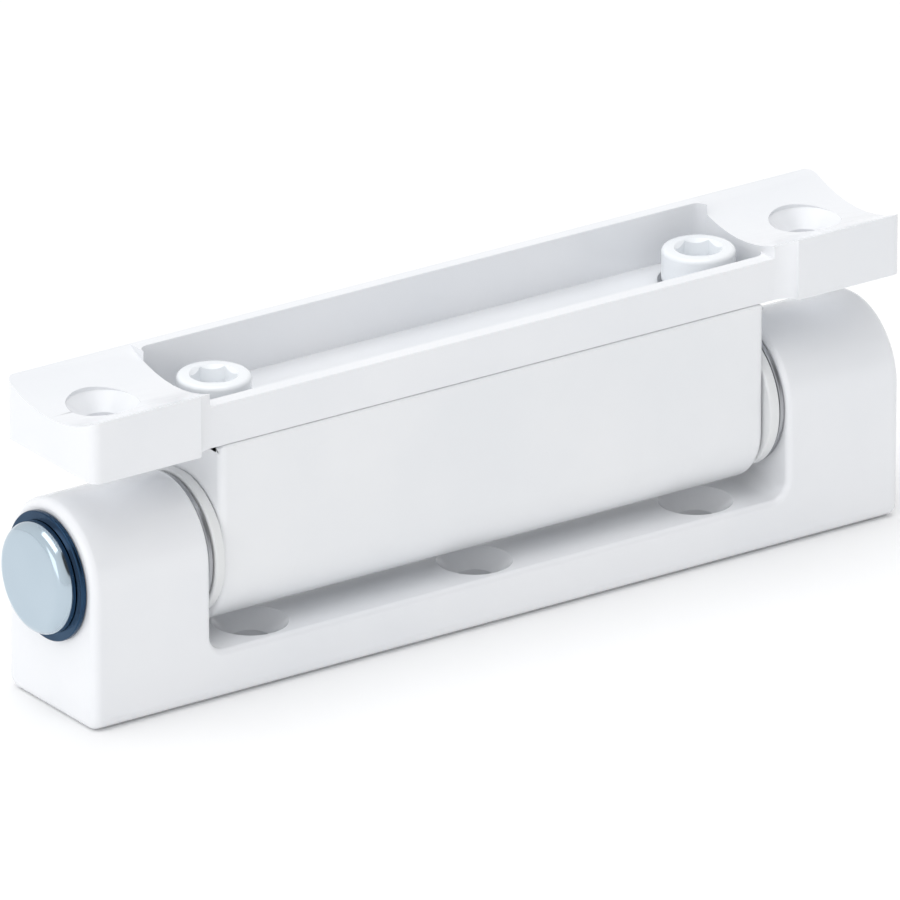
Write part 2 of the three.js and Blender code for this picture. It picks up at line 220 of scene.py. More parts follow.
def inset(outline, depth):
    """A counter-clockwise outline moved inwards by depth along the mean normal at each point."""
    ahead = np.roll(outline, -1, axis=0) - outline
    ahead /= np.linalg.norm(ahead, axis=1, keepdims=True)
    behind = np.roll(ahead, 1, axis=0)
    mean = ahead + behind
    mean /= np.linalg.norm(mean, axis=1, keepdims=True)
    stretch = 1 / np.clip((mean * ahead).sum(1), STEEPEST, 1)
    normal = np.column_stack((-mean[:, 1], mean[:, 0]))
    return outline + normal * (depth * stretch)[:, None]


AXES = {"x": (2, 0, 1), "y": (0, 2, 1), "z": (0, 1, 2)}


def drawn(name, outline, start, end, along="x", rounding=0.0, steps=4):
    """A closed outline carried in a straight line, with its two end edges rounded.

    Ring k of the rounding is the outline inset by r(1 - cos t) and set back by r(1 - sin t).
    The outline lies in (Y, Z) along x, in (X, Z) along y and in (X, Y) along z.
    """
    outline = once(outline)
    x, y = outline.T
    area = (x * np.roll(y, -1) - y * np.roll(x, -1)).sum()
    if area < 0:
        outline = outline[::-1]
    turns = np.linspace(0, math.pi / 2, steps + 1) if rounding else np.array([math.pi / 2])
    rings = []
    for t in turns:
        depth = rounding * (1 - math.sin(t))
        back = rounding * (1 - math.cos(t))
        flat = inset(outline, depth) if depth > 0 else outline
        rings.append((flat, start + back))
    rings += [(flat, start + end - place) for flat, place in rings[::-1]]
    layout = AXES[along]
    points = []
    for flat, place in rings:
        ring = np.column_stack((flat, np.full(len(flat), place)))
        points.append(ring[:, layout])
    count = len(outline)
    grid = np.arange(len(rings) * count).reshape(len(rings), count)
    lo, hi = grid[:-1], grid[1:]
    quads = np.stack((lo, np.roll(lo, -1, 1), np.roll(hi, -1, 1), hi), -1).reshape(-1, 4)
    faces = quads.tolist() + [grid[0][::-1].tolist(), grid[-1].tolist()]
    if along == "y":
        faces = [face[::-1] for face in faces]
    return new_object(name, np.vstack(points), faces)


def turned(name, profile, centre, along="x", count=TURN):
    """A profile of (place, radius) points turned about an axis through centre.

    Point (i, j) is at place i along the axis and radius i times (cos, sin) of angle j across
    it. A profile that starts and ends on the axis closes there with a fan of triangles, and
    one that doesn't closes on itself as a ring.
    """
    profile = np.asarray(profile, float)
    closed = profile[0, 1] > 0
    angle = np.linspace(0, 2 * math.pi, count, endpoint=False)
    body = profile if closed else profile[1:-1]
    place, radius = body[:, :1], body[:, 1:]
    ring = np.stack(
        (radius * np.cos(angle), radius * np.sin(angle), place + 0 * angle), -1)
    points = ring.reshape(-1, 3)
    grid = np.arange(len(points)).reshape(len(body), count)
    lo = grid if closed else grid[:-1]
    hi = np.roll(grid, -1, 0) if closed else grid[1:]
    quads = np.stack((lo, np.roll(lo, -1, 1), np.roll(hi, -1, 1), hi), -1).reshape(-1, 4)
    faces = quads.tolist()
    if not closed:
        first, last = len(points), len(points) + 1
        tips = [[0, 0, profile[0, 0]], [0, 0, profile[-1, 0]]]
        points = np.vstack((points, tips))
        near, far = grid[0], grid[-1]
        faces += np.stack((np.roll(near, -1), near, np.full(count, first)), -1).tolist()
        faces += np.stack((far, np.roll(far, -1), np.full(count, last)), -1).tolist()
    points = points[:, AXES[along]]
    return new_object(name, points + np.asarray(centre), faces)


def soft_profile(points, radii, steps=5):
    """An open profile whose inner corners are arcs, and whose two ends stay where they are."""
    return rounded_outline(points, [0, *radii, 0], steps)


def cut(piece, tool):
    """Takes the tool's solid out of the piece, exactly, and removes the tool."""
    change = piece.modifiers.new("cut", "BOOLEAN")
    change.operation = "DIFFERENCE"
    change.solver = "EXACT"
    change.object = tool
    settle(piece)
    bpy.data.objects.remove(tool)


def soften(piece, width, segments=3, angle=35):
    """Rounds every edge sharper than angle degrees."""
    change = piece.modifiers.new("soften", "BEVEL")
    change.limit_method = "ANGLE"
    change.angle_limit = math.radians(angle)
    change.width = width
    change.segments = segments
    change.miter_outer = "MITER_ARC"
    change.use_clamp_overlap = True
    settle(piece)


def even_shading(piece, angle=32):
    """Keeps edges sharper than angle crisp, and weights the other normals by face area."""
    piece.data.polygons.foreach_set("use_smooth", np.ones(len(piece.data.polygons), bool))
    piece.data.set_sharp_from_angle(angle=math.radians(angle))
    change = piece.modifiers.new("shading", "WEIGHTED_NORMAL")
    change.weight = 100
    change.keep_sharp = True
    settle(piece)


def settle(piece):
    """Replaces the piece's mesh by the result of its modifiers."""
    bpy.context.view_layer.update()
    graph = bpy.context.evaluated_depsgraph_get()
    mesh = bpy.data.meshes.new_from_object(piece.evaluated_get(graph))
    piece.modifiers.clear()
    old = piece.data
    piece.data = mesh
    bpy.data.meshes.remove(old)


# --- Materials ------------------------------------------------------------------------------

GLAZE = 0.35  # weight of the clear layer on a powder coat
GLAZE_ROUGHNESS = 0.08
PEEL_DEPTH = 0.03 * MM
PEEL_STRENGTH = 0.35
LATHE_DEPTH = 0.01 * MM
LATHE_STRENGTH = 0.12
LATHE_FINENESS = 6000
CLOUD_SCALE = 45
DRIFT_SCALE = 90
COAT_TONES = 0.35, 0.62  # where the cloud turns from the shade to the colour
PLATE_TONES = 0.3, 0.7
GLOSSIEST = 0.85  # roughness of the glossiest and dullest spots, times the mean
COAT_DULLEST = 1.2
PLATE_DULLEST = 1.15


def node(tree, kind, **values):
    """A new node with its properties set."""
    made = tree.nodes.new(kind)
    for key, value in values.items():
        setattr(made, key, value)
    return made


def skin_group():
    """Orange peel of a powder coat: a height of soft waves, and a cloud for tone and gloss."""
    tree = bpy.data.node_groups.new("coat_skin", "ShaderNodeTree")
    face = tree.interface
    face.new_socket("Vector", in_out="INPUT", socket_type="NodeSocketVector")
    face.new_socket("Wave Scale", in_out="INPUT", socket_type="NodeSocketFloat")
    face.new_socket("Height", in_out="OUTPUT", socket_type="NodeSocketFloat")
    face.new_socket("Cloud", in_out="OUTPUT", socket_type="NodeSocketFloat")
    enter = node(tree, "NodeGroupInput")
    leave = node(tree, "NodeGroupOutput")
    peel = node(tree, "ShaderNodeTexNoise")
    peel.inputs["Detail"].default_value = 2.0
    peel.inputs["Roughness"].default_value = 0.4
    cloud = node(tree, "ShaderNodeTexNoise")
    cloud.inputs["Scale"].default_value = CLOUD_SCALE
    cloud.inputs["Detail"].default_value = 3.0
    link = tree.links.new
    link(enter.outputs["Vector"], peel.inputs["Vector"])
    link(enter.outputs["Wave Scale"], peel.inputs["Scale"])
    link(enter.outputs["Vector"], cloud.inputs["Vector"])
    link(peel.outputs["Fac"], leave.inputs["Height"])
    link(cloud.outputs["Fac"], leave.inputs["Cloud"])
    return tree


SKIN = skin_group()


def shader(name, color, roughness, metallic=0.0, coat=0.0):
    """A material with a Principled shader on Object coordinates, and its parts."""
    material = bpy.data.materials.new(name)
    material.use_nodes = True
    tree = material.node_tree
    principled = tree.nodes["Principled BSDF"]
    principled.inputs["Base Color"].default_value = (*color, 1)
    principled.inputs["Roughness"].default_value = roughness
    principled.inputs["Metallic"].default_value = metallic
    principled.inputs["Coat Weight"].default_value = coat
    place = node(tree, "ShaderNodeTexCoord")
    return material, tree, principled, place.outputs["Object"]


def ramp(tree, low, high, start, end):
    """A colour ramp between two greys or colours."""
    made = node(tree, "ShaderNodeValToRGB")
    for element, position, color in zip(made.color_ramp.elements, (start, end), (low, high)):
        element.position = position
        element.color = (*color, 1)
    return made


def powder_coat(name, color, shade, roughness=0.24, wave=900):
    """Glossy powder coat: orange peel in the normal and a faint cloud in colour and gloss."""
    material, tree, principled, place = shader(name, color, roughness, coat=GLAZE)
    principled.inputs["Coat Roughness"].default_value = GLAZE_ROUGHNESS
    skin = node(tree, "ShaderNodeGroup", node_tree=SKIN)
    skin.inputs["Wave Scale"].default_value = wave
    link = tree.links.new
    link(place, skin.inputs["Vector"])
    tone = ramp(tree, shade, color, *COAT_TONES)
    link(skin.outputs["Cloud"], tone.inputs["Fac"])
    link(tone.outputs["Color"], principled.inputs["Base Color"])
    gloss = node(tree, "ShaderNodeMapRange")
    gloss.inputs["To Min"].default_value = roughness * GLOSSIEST
    gloss.inputs["To Max"].default_value = roughness * COAT_DULLEST
    link(skin.outputs["Cloud"], gloss.inputs["Value"])
    link(gloss.outputs["Result"], principled.inputs["Roughness"])
    bump = node(tree, "ShaderNodeBump")
    bump.inputs["Strength"].default_value = PEEL_STRENGTH
    bump.inputs["Distance"].default_value = PEEL_DEPTH
    link(skin.outputs["Height"], bump.inputs["Height"])
    link(bump.outputs["Normal"], principled.inputs["Normal"])
    return material


def lathe_group():
    """Turning marks round the pin's axis: noise that depends only on the distance from it."""
    tree = bpy.data.node_groups.new("lathe_marks", "ShaderNodeTree")
    face = tree.interface
    face.new_socket("Vector", in_out="INPUT", socket_type="NodeSocketVector")
    face.new_socket("Fineness", in_out="INPUT", socket_type="NodeSocketFloat")
    face.new_socket("Height", in_out="OUTPUT", socket_type="NodeSocketFloat")
    face.new_socket("Drift", in_out="OUTPUT", socket_type="NodeSocketFloat")
    enter = node(tree, "NodeGroupInput")
    leave = node(tree, "NodeGroupOutput")
    centre = node(tree, "ShaderNodeMapping")
    centre.inputs["Location"].default_value = (0, 0, -AXIS_Z)
    centre.inputs["Scale"].default_value = (0, 1, 1)
    reach = node(tree, "ShaderNodeVectorMath", operation="LENGTH")
    marks = node(tree, "ShaderNodeTexNoise", noise_dimensions="1D")
    marks.inputs["Detail"].default_value = 3.0
    drift = node(tree, "ShaderNodeTexNoise")
    drift.inputs["Scale"].default_value = DRIFT_SCALE
    drift.inputs["Detail"].default_value = 2.0
    link = tree.links.new
    link(enter.outputs["Vector"], centre.inputs["Vector"])
    link(centre.outputs["Vector"], reach.inputs[0])
    link(reach.outputs["Value"], marks.inputs["W"])
    link(enter.outputs["Fineness"], marks.inputs["Scale"])
    link(enter.outputs["Vector"], drift.inputs["Vector"])
    link(marks.outputs["Fac"], leave.inputs["Height"])
    link(drift.outputs["Fac"], leave.inputs["Drift"])
    return tree


LATHE = lathe_group()


def plated(name, color, shade, roughness):
    """Plated steel: fine turning marks round the pin's axis and a drifting passivation tint."""
    material, tree, principled, place = shader(name, color, roughness, metallic=1.0)
    link = tree.links.new
    lathe = node(tree, "ShaderNodeGroup", node_tree=LATHE)
    lathe.inputs["Fineness"].default_value = LATHE_FINENESS
    link(place, lathe.inputs["Vector"])
    tone = ramp(tree, shade, color, *PLATE_TONES)
    link(lathe.outputs["Drift"], tone.inputs["Fac"])
    link(tone.outputs["Color"], principled.inputs["Base Color"])
    gloss = node(tree, "ShaderNodeMapRange")
    gloss.inputs["To Min"].default_value = roughness * GLOSSIEST
    gloss.inputs["To Max"].default_value = roughness * PLATE_DULLEST
    link(lathe.outputs["Drift"], gloss.inputs["Value"])
    link(gloss.outputs["Result"], principled.inputs["Roughness"])
    bump = node(tree, "ShaderNodeBump")
    bump.inputs["Strength"].default_value = LATHE_STRENGTH
    bump.inputs["Distance"].default_value = LATHE_DEPTH
    link(lathe.outputs["Height"], bump.inputs["Height"])
    link(bump.outputs["Normal"], principled.inputs["Normal"])
    return material


WHITE = powder_coat("white_powder_coat", (0.86, 0.87, 0.89), (0.83, 0.845, 0.87))
KNUCKLE_WHITE = powder_coat(
    "knuckle_white", (0.86, 0.87, 0.885), (0.83, 0.845, 0.865), roughness=0.3)
SCREW_WHITE = powder_coat(
    "screw_white", (0.88, 0.9, 0.92), (0.84, 0.87, 0.9), roughness=0.2, wave=1400)
NYLON = powder_coat(
    "white_nylon", (0.8, 0.81, 0.81), (0.76, 0.77, 0.78), roughness=0.42, wave=2200)
ZINC = plated("zinc_plate", (0.50, 0.59, 0.66), (0.47, 0.56, 0.63), roughness=0.14)
BLUED = plated("blued_zinc", (0.03, 0.07, 0.13), (0.018, 0.04, 0.08), roughness=0.24)
STEEL = plated("spring_steel", (0.45, 0.46, 0.48), (0.36, 0.37, 0.39), roughness=0.34)


def dress(piece, material):
    """Gives the piece one material on all its faces."""
    piece.data.materials.clear()
    piece.data.materials.append(material)
    piece.data.polygons.foreach_set("material_index", np.zeros(len(piece.data.polygons), int))


def fit_piece(piece, body, slot, material, *replaced):
    """Dresses a new piece, rides it on its body and hides the nodes it stands for."""
    dress(piece, material)
    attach(piece, body)
    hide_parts(*replaced)


# --- Yoke -----------------------------------------------------------------------------------


def rod(name, x0, x1, radius, centre=AXIS, count=TURN):
    """A plain round bar along X."""
    return turned(name, [(x0, 0), (x0, radius), (x1, radius), (x1, 0)], centre, count=count)


def post(name, x, y, z0, z1, radius, count=TURN // 2):
    """A plain round bar along Z."""
    profile = [(z0, 0), (z0, radius), (z1, radius), (z1, 0)]
    return turned(name, profile, (x, y, 0), along="z", count=count)


def hole_profile(a, b, radius, open_a=True, open_b=True):
    """The tool for a drilled hole between two faces, with a broken edge at each open end."""
    wide = radius + DRILL_EDGE
    start = [(a - OVER, 0), (a - OVER, wide), (a, wide), (a + DRILL_EDGE, radius)]
    end = [(b - DRILL_EDGE, radius), (b, wide), (b + OVER, wide), (b + OVER, 0)]
    start = start if open_a else [(a, 0), (a, radius)]
    return start + (end if open_b else [(b, radius), (b, 0)])


def bored(name, x0, x1, radius, open0=True, open1=True):
    """The tool for a hole along the pin's axis."""
    return turned(name, hole_profile(x0, x1, radius, open0, open1), AXIS)


def drilled(name, x, z0, z1, radius, open0=True, open1=True):
    """The tool for a hole along Z, in the middle of the depth."""
    return turned(name, hole_profile(z0, z1, radius, open0, open1), (x, 0, 0), along="z")


def sunk_hole(name, x, y, bottom, seat, top, hole, sink):
    """The tool for a countersunk hole: the cone meets the surface at the height seat."""
    profile = hole_profile(bottom, seat - (sink - hole), hole)[:4] + [
        (seat - (sink - hole), hole), (seat, sink), (top + OVER, sink), (top + OVER, 0)]
    return turned(name, profile, (x, y, 0), along="z")


def slab(name, x0, x1, y0, y1, z0, z1):
    """A plain block."""
    corners = [(y0, z0), (y1, z0), (y1, z1), (y0, z1)]
    return drawn(name, np.array(corners), x0, x1)


def make_yoke():
    """A block with a half-round top about the pin, opened by the mouth and drilled."""
    half = YOKE_HI.y
    corners = [(-half, AXIS_Z), (-half, 0), (half, 0), (half, AXIS_Z)]
    feet = rounded_outline(corners, [0, FOOT_CORNER, FOOT_CORNER, 0])
    section = np.vstack((feet, arc((0, AXIS_Z), half, 0, 180, TURN // 2)))
    yoke = drawn("yoke_casting", section, YOKE_LO.x, YOKE_HI.x, rounding=CAST_EDGE)
    x0, x1 = YOKE_LO.x + CHEEK, YOKE_HI.x - CHEEK
    top = YOKE_HI.z + MOUTH_CORNER
    opening = [(x0, FLOOR), (x1, FLOOR), (x1, top), (x0, top)]
    opening = rounded_outline(opening, [MOUTH_CORNER, MOUTH_CORNER, 0, 0], 8)
    cut(yoke, drawn("mouth", opening, -2 * half, 2 * half, along="y"))
    soften(yoke, MOUTH_EDGE, 4)
    bore = across("left_cheek_sleeve") + SNUG
    cut(yoke, bored("left_bore", YOKE_LO.x, x0, bore))
    cut(yoke, bored("right_bore", x1, YOKE_HI.x, bore))
    pocket = across("pin_end_plug") + SNUG
    cut(yoke, bored("pocket", RING_LO.x - SNUG, YOKE_HI.x, pocket, open0=False))
    for place in (-1, 0, 1):
        x = MIDDLE_X + place * FOOT_HOLE_PITCH
        sink = sunk_hole("sink", x, FOOT_HOLE_Y, 0, FLOOR, FLOOR, FOOT_HOLE_R, FOOT_SINK_R)
        cut(yoke, sink)
    lock = across("pin_lock_screw") + SNUG
    cut(yoke, drilled("lock_hole", LOCK_X, 0, AXIS_Z, lock, open1=False))
    even_shading(yoke)
    fit_piece(yoke, "fixed", "powder_coat", WHITE, "yoke")


# --- Pin and what holds it ------------------------------------------------------------------


def ring_profile(x0, x1, inner, outer, edge, steps=4):
    """The rectangle between two places and two radii, with rounded corners."""
    corners = [(x0, inner), (x1, inner), (x1, outer), (x0, outer)]
    return once(rounded_outline(corners, edge, steps))


def make_pin():
    """A round pin: a head with a broad rounded edge, a ring groove, and a chamfered end."""
    face, head = PIN_LO.x, across("hinge_pin")
    edge = arc((face + HEAD_EDGE, head - HEAD_EDGE), HEAD_EDGE, 180, 90, 10)
    groove0, groove1 = RING_LO.x - SNUG, RING_HI.x + SNUG
    shoulder, end = face + HEAD_T, PIN_HI.x
    shaft = [
        (shoulder, head), (shoulder, PIN_R), (groove0, PIN_R), (groove0, GROOVE_R),
        (groove1, GROOVE_R), (groove1, PIN_R), (end - PIN_CHAMFER, PIN_R),
        (end, PIN_R - PIN_CHAMFER), (end, 0)]
    profile = np.vstack(([(face, 0)], edge, shaft))
    pin = turned("pin_turning", profile, AXIS)
    low = AXIS_Z - PIN_R
    flat = slab(
        "flat", LOCK_X - LOCK_FLAT / 2, LOCK_X + LOCK_FLAT / 2, -PIN_R, PIN_R,
        low - OVER, low + LOCK_BITE)
    cut(pin, flat)
    soften(pin, WASHER_EDGE, 2, 50)
    even_shading(pin)
    fit_piece(pin, "fixed", "zinc_plate", ZINC, "hinge_pin")


def make_ring(name, node_name, body, slot, material, inner, edge=WASHER_EDGE):
    """A plain ring about the pin, as wide and as large as its node, with rounded corners."""
    low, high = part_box(node_name)
    profile = ring_profile(low.x, high.x, inner, (high.y - low.y) / 2, edge)
    ring = turned(name, profile, AXIS)
    if node_name == "retaining_ring":
        half = RING_OPENING / 2
        opening = slab(
            "opening", low.x - OVER, high.x + OVER, -half, half, AXIS_Z, high.z + OVER)
        cut(ring, opening)
    if node_name == "left_cheek_sleeve":
        cut(ring, post("lock_hole", LOCK_X, 0, -OVER, AXIS_Z, across("pin_lock_screw") + SNUG))
    even_shading(ring)
    fit_piece(ring, body, slot, material, node_name)


def make_plug():
    """A round plug with a rounded rim and a shallow dished face."""
    radius = across("pin_end_plug")
    x0, x1 = PLUG_LO.x, PLUG_HI.x
    dish = x1 - PLUG_DISH_DEPTH
    profile = soft_profile(
        [(x0, 0), (x0, radius), (x1, radius), (x1, PLUG_DISH_R + PLUG_DISH_DEPTH),
         (dish, PLUG_DISH_R), (dish, 0)],
        [PLUG_EDGE, PLUG_EDGE, PLUG_EDGE / 2, PLUG_EDGE / 2])
    plug = turned("plug_moulding", profile, AXIS)
    even_shading(plug)
    fit_piece(plug, "fixed", "white_nylon", NYLON, "pin_end_plug")


def screw_profile(tip, top, radius, pitch, steps=8):
    """Heights up a thread, steps to a pitch, with the radius there without the thread."""
    count = round((top - tip) / pitch * steps)
    heights = np.linspace(tip, top, count + 1)
    return np.column_stack((heights, np.full(len(heights), radius)))


def threaded(name, profile, x, y, thread0, thread1, pitch, count=64):
    """A turned piece along Z whose stretch from thread0 to thread1 has a helical thread.

    At height z and angle a, the radius is lessened by THREAD_DEPTH pitches times the triangle
    wave of z / pitch - a / (2 pi). The thread starts at THREAD_START of that depth and grows to
    all of it, and over its last pitch it fades out.
    """
    profile = np.asarray(profile, float)
    angle = np.linspace(0, 2 * math.pi, count, endpoint=False)
    height, radius = profile[1:-1, :1], profile[1:-1, 1:]
    phase = (height / pitch - angle / (2 * math.pi)) % 1
    wave = np.abs(2 * phase - 1)
    fade = np.clip((height - thread0) / pitch + THREAD_START, 0, 1)
    fade = fade * np.clip((thread1 - height) / pitch, 0, 1)
    reach = radius - THREAD_DEPTH * pitch * wave * fade
    points = np.stack((
        x + reach * np.cos(angle), y + reach * np.sin(angle), height + 0 * angle), -1)
    points = points.reshape(-1, 3)
    grid = np.arange(len(points)).reshape(len(height), count)
    lo, hi = grid[:-1], grid[1:]
    faces = np.stack((lo, np.roll(lo, -1, 1), np.roll(hi, -1, 1), hi), -1)
    faces = faces.reshape(-1, 4).tolist()
    tips = [[x, y, profile[0, 0]], [x, y, profile[-1, 0]]]
    near, far = grid[0], grid[-1]
    faces += np.stack((np.roll(near, -1), near, np.full(count, len(points))), -1).tolist()
    faces += np.stack((far, np.roll(far, -1), np.full(count, len(points) + 1)), -1).tolist()
    return new_object(name, np.vstack((points, tips)), faces)


def hex_tool(name, x, y, z0, z1, radius):
    """A hexagonal key's shape along Z."""
    angle = np.radians(np.arange(0, 360, 60) + KEY_TURN)
    section = np.column_stack((np.cos(angle), np.sin(angle))) * radius + (x, y)
    return drawn(name, section, z0, z1, along="z")


def make_lock_screw():
    """A threaded grub screw with a hexagonal socket at its lower end."""
    radius = across("pin_lock_screw")
    z0, z1 = LOCK_LO.z, LOCK_HI.z
    chamfer = PIN_CHAMFER
    stem = screw_profile(z0 + chamfer, z1 - chamfer, radius, LOCK_PITCH)
    profile = np.vstack((
        [(z0, 0), (z0, radius - chamfer)], stem, [(z1, radius - chamfer), (z1, 0)]))
    screw = threaded("lock_screw_turning", profile, LOCK_X, 0, z0, z1, LOCK_PITCH)
    cut(screw, hex_tool(
        "key", LOCK_X, 0, z0 - OVER, z0 + LOCK_SOCKET_DEPTH, LOCK_SOCKET_R))
    even_shading(screw)
    fit_piece(screw, "fixed", "spring_steel", STEEL, "pin_lock_screw")


# --- Knuckle --------------------------------------------------------------------------------


def make_knuckle():
    """Flat sides and a round underside, bored for the bushes, tapped and drilled on top."""
    half, low = KNUCKLE_HI.y, AXIS_Z - KNUCKLE_DROP
    top = [(half, low), (half, KNUCKLE_HI.z), (-half, KNUCKLE_HI.z), (-half, low)]
    top = rounded_outline(top, [0, KNUCKLE_TOP_EDGE, KNUCKLE_TOP_EDGE, 0], 3)
    section = np.vstack((top, arc((0, low), half, 180, 360, TURN // 2)))
    knuckle = drawn(
        "knuckle_casting", section, KNUCKLE_LO.x, KNUCKLE_HI.x, rounding=KNUCKLE_EDGE)
    x0, x1, deep = KNUCKLE_LO.x, KNUCKLE_HI.x, BUSH_LENGTH + SNUG
    cut(knuckle, rod("core", x0 - OVER, x1 + OVER, KNUCKLE_CORE_R))
    cut(knuckle, bored("left_seat", x0, x0 + deep, BUSH_R + SNUG, open1=False))
    cut(knuckle, bored("right_seat", x1 - deep, x1, BUSH_R + SNUG, open0=False))
    for side, _ in ENDS:
        x = middle_of(side + "_clamp_screw")
        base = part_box(side + "_clamp_screw")[0].z - TAP_OVERRUN
        tapped = SCREW_R + THREAD_GAP
        cut(knuckle, drilled("tapped", x, base, KNUCKLE_HI.z, tapped, open0=False))
        x = middle_of(side + "_dowel")
        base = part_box(side + "_dowel")[0].z - SNUG
        cut(knuckle, drilled("hole", x, base, KNUCKLE_HI.z, DOWEL_R + SNUG, open0=False))
    even_shading(knuckle)
    fit_piece(knuckle, "leaf", "powder_coat", KNUCKLE_WHITE, "knuckle")


def make_bush(side, sign):
    """A flanged bush: the flange bears on the thrust washer and the sleeve is in the knuckle."""
    low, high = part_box(side + "_flanged_bush")
    outer = low.x if sign < 0 else high.x
    inner = high.x if sign < 0 else low.x
    flange = outer - sign * FLANGE_T
    bore, radius = PIN_R + RUN, (high.y - low.y) / 2
    corners = [
        (outer, bore), (outer, radius), (flange, radius), (flange, BUSH_R),
        (inner, BUSH_R), (inner, bore)]
    profile = once(rounded_outline(corners, FLANGE_EDGE, 4))
    if sign < 0:
        profile = profile[::-1]
    bush = turned(side + "_bush_moulding", profile, AXIS)
    even_shading(bush)
    fit_piece(bush, "leaf", "white_nylon", NYLON, side + "_flanged_bush")


# --- Leaf -----------------------------------------------------------------------------------


def leaf_plan():
    """The leaf from above: ears stand out at the front, and hollows lead from them to the rim."""
    x0, x1, half = LEAF_LO.x, LEAF_HI.x, LEAF_HI.y
    sweep = np.linspace(0, math.pi / 2, 13)
    left = np.column_stack((
        x0 + EAR_FRONT + EAR_FILLET * (1 - np.cos(sweep)), -half + (half - RIM_FRONT) * np.sin(sweep)))
    right = np.column_stack((x0 + x1 - left[::-1, 0], left[::-1, 1]))
    r = EAR_CORNER
    return np.vstack((
        left, right,
        arc((x1 - r, -half + r), r, -90, 0, 7), arc((x1 - r, half - r), r, 0, 90, 7),
        arc((x0 + r, half - r), r, 90, 180, 7), arc((x0 + r, -half + r), r, 180, 270, 7)))


def make_leaf():
    """A tray with a low front rim between two ears whose tops are round saddles along X."""
    z0, z1, half = LEAF_LO.z, LEAF_HI.z, LEAF_HI.y
    inner0, inner1 = LEAF_LO.x + EAR, LEAF_HI.x - EAR
    back, front = half - BACK_WALL, -RIM_FRONT + RIM_WALL
    leaf = drawn("leaf_casting", leaf_plan(), z0, z1, along="z")
    tray = [(inner0, front), (inner1, front), (inner1, back), (inner0, back)]
    tray = rounded_outline(tray, TRAY_CORNER, 6)
    cut(leaf, drawn("tray", tray, z0 + WEB, z1 + OVER, along="z"))
    cut(leaf, slab("rim", inner0, inner1, -half - OVER, back - TRAY_CORNER, RIM_TOP, z1 + OVER))
    radius = (half ** 2 + SADDLE_SAG ** 2) / (2 * SADDLE_SAG)
    centre = Vector((0, 0, z1 - SADDLE_SAG + radius))
    cut(leaf, rod("left_saddle", LEAF_LO.x - OVER, inner0, radius, centre, SADDLE_FACETS))
    cut(leaf, rod("right_saddle", inner1, LEAF_HI.x + OVER, radius, centre, SADDLE_FACETS))
    soften(leaf, LEAF_EDGE, 4, 35)
    for side, sign in ENDS:
        end = LEAF_LO.x if sign < 0 else LEAF_HI.x
        x = end - sign * EAR_HOLE_IN
        cut(leaf, sunk_hole("sink", x, 0, z0, z1 - SADDLE_SAG, z1, EAR_HOLE_R, EAR_SINK_R))
        x = middle_of(side + "_clamp_screw")
        cut(leaf, drilled("hole", x, z0, z0 + WEB, SCREW_R + SCREW_CLEARANCE))
        x, top = middle_of(side + "_dowel"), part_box(side + "_dowel")[1].z
        cut(leaf, post("hole", x, 0, z0 - OVER, top + SNUG, DOWEL_R + SNUG))
    even_shading(leaf)
    fit_piece(leaf, "leaf", "powder_coat", WHITE, "leaf_frame")


def make_clamp_screw(side):
    """A socket screw: a threaded shank under a round head with a hexagonal socket."""
    low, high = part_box(side + "_clamp_screw")
    x, head = middle_of(side + "_clamp_screw"), (high.x - low.x) / 2
    seat = high.z - SCREW_HEAD_T
    stem = screw_profile(low.z + PIN_CHAMFER, seat, SCREW_R, SCREW_PITCH)
    crown = arc((high.z - SCREW_EDGE, head - SCREW_EDGE), SCREW_EDGE, 90, 0, 6)
    profile = np.vstack((
        [(low.z, 0), (low.z, SCREW_R - PIN_CHAMFER)], stem, [(seat, head)], crown,
        [(high.z, 0)]))
    name = side + "_clamp_screw_turning"
    screw = threaded(name, profile, x, 0, low.z, seat - SCREW_PITCH, SCREW_PITCH, TURN)
    cut(screw, hex_tool("key", x, 0, high.z - SOCKET_DEPTH, high.z + OVER, SOCKET_R))
    mouth = SOCKET_R + DRILL_EDGE / 2
    cone = [(high.z - mouth, 0), (high.z, mouth), (high.z + OVER, mouth), (high.z + OVER, 0)]
    cut(screw, turned("mouth", cone, (x, 0, 0), along="z"))
    even_shading(screw)
    fit_piece(screw, "leaf", "coated_steel", SCREW_WHITE, side + "_clamp_screw")


def make_clamp_washer(side):
    """A plain washer under the clamp screw's head."""
    low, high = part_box(side + "_clamp_washer")
    x, radius = middle_of(side + "_clamp_washer"), (high.x - low.x) / 2
    profile = ring_profile(low.z, high.z, SCREW_R + 2 * SNUG, radius, WASHER_EDGE)
    washer = turned(side + "_clamp_washer_blank", profile, (x, 0, 0), along="z")
    even_shading(washer)
    fit_piece(washer, "leaf", "spring_steel", STEEL, side + "_clamp_washer")


def make_dowel(side):
    """A rolled spring dowel, slit along its length."""
    low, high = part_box(side + "_dowel")
    x = middle_of(side + "_dowel")
    profile = ring_profile(low.z, high.z, DOWEL_BORE, DOWEL_R, 2 * WASHER_EDGE)
    dowel = turned(side + "_dowel_roll", profile, (x, 0, 0), along="z")
    half = DOWEL_SLOT / 2
    cut(dowel, slab("slit", x, x + DOWEL_R + OVER, -half, half, low.z - OVER, high.z + OVER))
    even_shading(dowel)
    fit_piece(dowel, "leaf", "spring_steel", STEEL, side + "_dowel")


